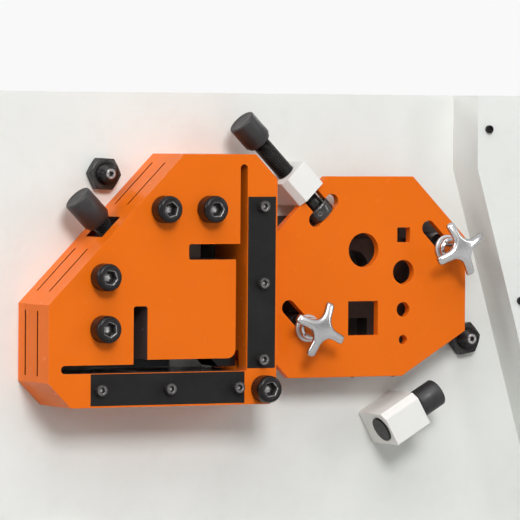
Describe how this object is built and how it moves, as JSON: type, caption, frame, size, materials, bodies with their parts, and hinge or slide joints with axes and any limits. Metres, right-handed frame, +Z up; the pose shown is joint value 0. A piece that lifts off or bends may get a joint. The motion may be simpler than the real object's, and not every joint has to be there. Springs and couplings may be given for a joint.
{
  "type": "ironworker shear head",
  "caption": "Angle and bar shear head of an ironworker: laminated orange guide, sliding bar clamp, screw hold-downs, hinged blade beam and hydraulic cylinder on a plate frame.",
  "frame": {"origin": "centre of the base bolt pattern on the underside of the base plate", "axes": "+Z up, +X to the operator's right along the base, +Y away from the operator, so the station faces -Y"},
  "size_m": [0.736, 0.321, 0.63],
  "materials": {
    "frame_paint": "satin light grey paint",
    "block_paint": "satin off-white paint",
    "guide_paint": "semi-gloss orange paint",
    "black_rail": "blackened ground steel",
    "dark_fastener": "black oxide",
    "black_screw": "black oxide with oil",
    "knob_plastic": "fine-knurled black",
    "chromed": "polished chrome",
    "bright_steel": "ground bright steel",
    "blade_steel": "ground and oiled tool steel",
    "bearing_bronze": "machined bearing bronze",
    "beam_steel": "machined and oiled steel",
    "cylinder_paint": "dark grey paint"
  },
  "bodies": {
    "frame": {"front_frame_plate": "frame_paint", "rear_frame_plate": "frame_paint", "base_plate": "frame_paint", "left_spacer": "frame_paint", "right_spacer": "frame_paint", "top_spacer": "frame_paint", "side_cover": "frame_paint", "cover_posts": "dark_fastener", "cover_screws": "dark_fastener", "gib_studs": "dark_fastener", "lock_nuts": "dark_fastener", "gib_pads": "bearing_bronze", "rear_wear_pads": "bearing_bronze", "main_pivot_pin": "bright_steel", "pivot_caps": "frame_paint", "pivot_cap_screws": "dark_fastener", "guide_rear_plate": "guide_paint", "guide_middle_plate": "guide_paint", "guide_front_plate": "guide_paint", "guide_screws": "dark_fastener", "vertical_rail": "black_rail", "horizontal_rail": "black_rail", "rail_screws": "dark_fastener", "clamp_nut": "dark_fastener", "fixed_blade_vertical": "blade_steel", "fixed_blade_horizontal": "blade_steel", "fixed_blade_screws": "dark_fastener", "fixed_bar_blade": "blade_steel", "bar_clamp_block": "block_paint", "clamp_studs": "bright_steel", "stud_sleeves": "dark_fastener", "lower_clamp_block": "block_paint", "cylinder_pin": "bright_steel", "guard_brackets": "frame_paint", "guard_pin": "bright_steel"},
    "beam": {"moving_beam": "beam_steel", "pivot_bush": "bearing_bronze", "moving_angle_blade": "blade_steel", "moving_bar_blade": "blade_steel", "moving_blade_screws": "dark_fastener", "rod_pin": "bright_steel"},
    "cylinder": {"cylinder_barrel": "cylinder_paint", "cylinder_gland": "cylinder_paint"},
    "rod": {"piston_rod": "chromed", "piston": "bright_steel"},
    "angle_foot": {"angle_clamp_foot": "dark_fastener"},
    "angle_screw": {"angle_clamp_screw": "black_screw", "angle_clamp_knob": "knob_plastic"},
    "clamp_plate": {"bar_clamp_plate": "guide_paint"},
    "bar_screw": {"bar_clamp_screw": "black_screw", "bar_clamp_collar": "dark_fastener", "bar_clamp_knob": "knob_plastic"},
    "washer_left": {"star_washer_left": "bright_steel"},
    "star_left": {"star_knob_left": "chromed"},
    "washer_right": {"star_washer_right": "bright_steel"},
    "star_right": {"star_knob_right": "chromed"},
    "lower_foot": {"lower_clamp_foot": "dark_fastener"},
    "lower_screw": {"lower_clamp_screw": "black_screw", "lower_clamp_knob": "knob_plastic"},
    "rear_guard": {"rear_guard": "cylinder_paint"}
  },
  "joints": [
    {"name": "beam_swing", "type": "hinge", "parent": "frame", "child": "beam", "pos_m": [-0.258, 0, 0.1], "axis": [0, 1, 0], "range_deg": [0, 5.5]},
    {"name": "cylinder_swing", "type": "hinge", "parent": "frame", "child": "cylinder", "pos_m": [0.272, 0, 0.598], "axis": [0, 1, 0], "range_deg": [-5, 0]},
    {"name": "rod_push", "type": "slide", "parent": "cylinder", "child": "rod", "axis": [0, 0, -1], "range_m": [0, 0.054]},
    {"name": "angle_foot_slide", "type": "slide", "parent": "frame", "child": "angle_foot", "axis": [0.7071, 0, -0.7071], "range_m": [-0.04, 0.005]},
    {"name": "angle_screw_turn", "type": "hinge", "parent": "angle_foot", "child": "angle_screw", "pos_m": [-0.228, -0.1125, 0.476], "axis": [0.7071, 0, -0.7071], "range_deg": [-5790, 750]},
    {"name": "clamp_plate_slide", "type": "slide", "parent": "frame", "child": "clamp_plate", "axis": [0.7071, 0, -0.7071], "range_m": [0, 0.02]},
    {"name": "bar_screw_turn", "type": "hinge", "parent": "clamp_plate", "child": "bar_screw", "pos_m": [0.06425, -0.1125, 0.46825], "axis": [0.7071, 0, -0.7071], "range_deg": [-30, 2910]},
    {"name": "washer_left_slide", "type": "slide", "parent": "frame", "child": "washer_left", "axis": [0, -1, 0], "range_m": [0, 0.004]},
    {"name": "star_left_turn", "type": "hinge", "parent": "washer_left", "child": "star_left", "pos_m": [0.011, -0.1293, 0.3705], "axis": [0, -1, 0], "range_deg": [-20, 740]},
    {"name": "washer_right_slide", "type": "slide", "parent": "frame", "child": "washer_right", "axis": [0, -1, 0], "range_m": [0, 0.004]},
    {"name": "star_right_turn", "type": "hinge", "parent": "washer_right", "child": "star_right", "pos_m": [0.1895, -0.1293, 0.458], "axis": [0, -1, 0], "range_deg": [-20, 740]},
    {"name": "lower_foot_slide", "type": "slide", "parent": "frame", "child": "lower_foot", "axis": [0.866, 0, 0.5], "range_m": [0, 0.025]},
    {"name": "lower_screw_turn", "type": "hinge", "parent": "lower_foot", "child": "lower_screw", "pos_m": [0.1309, -0.113, 0.26417], "axis": [0.866, 0, 0.5], "range_deg": [-30, 3630]},
    {"name": "rear_guard_swing", "type": "hinge", "parent": "frame", "child": "rear_guard", "pos_m": [0.057, 0.135, 0.528], "axis": [1, 0, 0], "range_deg": [0, 85]}
  ],
  "couplings": [
    {"joint": "cylinder_swing", "follows": "beam_swing", "ratio": -0.8866},
    {"joint": "rod_push", "follows": "beam_swing", "m_per_rad": 0.548},
    {"joint": "angle_screw_turn", "follows": "angle_foot_slide", "rad_per_m": 2513.3},
    {"joint": "bar_screw_turn", "follows": "clamp_plate_slide", "rad_per_m": 2513.3},
    {"joint": "star_left_turn", "follows": "washer_left_slide", "rad_per_m": 3141.6},
    {"joint": "star_right_turn", "follows": "washer_right_slide", "rad_per_m": 3141.6},
    {"joint": "lower_screw_turn", "follows": "lower_foot_slide", "rad_per_m": 2513.3}
  ]
}
